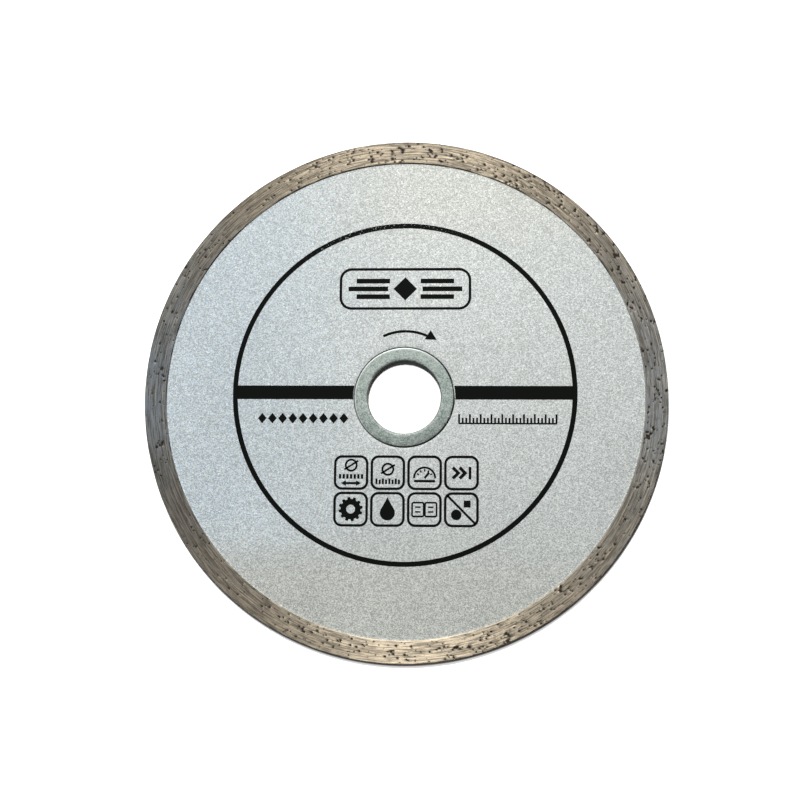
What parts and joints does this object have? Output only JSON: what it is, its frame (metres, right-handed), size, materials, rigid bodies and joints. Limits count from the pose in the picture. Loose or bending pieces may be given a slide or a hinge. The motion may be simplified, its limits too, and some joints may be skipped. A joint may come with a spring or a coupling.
{
  "type": "diamond blade",
  "caption": "Thin round diamond cutting blade for an angle grinder: painted steel core, continuous sintered rim and a lift-out ring that reduces the bore.",
  "frame": {"origin": "on the arbor axis, in the middle plane of the blade", "axes": "+Z along the arbor axis, out of the printed face; +Y towards the top of the print; +X to the right of the print"},
  "size_m": [0.115, 0.115, 0.002],
  "materials": {
    "silver_paint": "satin",
    "sintered_bond": "satin",
    "zinc_plate": "satin"
  },
  "bodies": {
    "blade": {"steel_core": "silver_paint", "diamond_rim": "sintered_bond"},
    "bore_reducer": {"reducing_ring": "zinc_plate"}
  },
  "joints": [
    {"name": "ring_lift_out", "type": "slide", "parent": "blade", "child": "bore_reducer", "axis": [0, 0, 1], "range_m": [0, 0.01]}
  ]
}
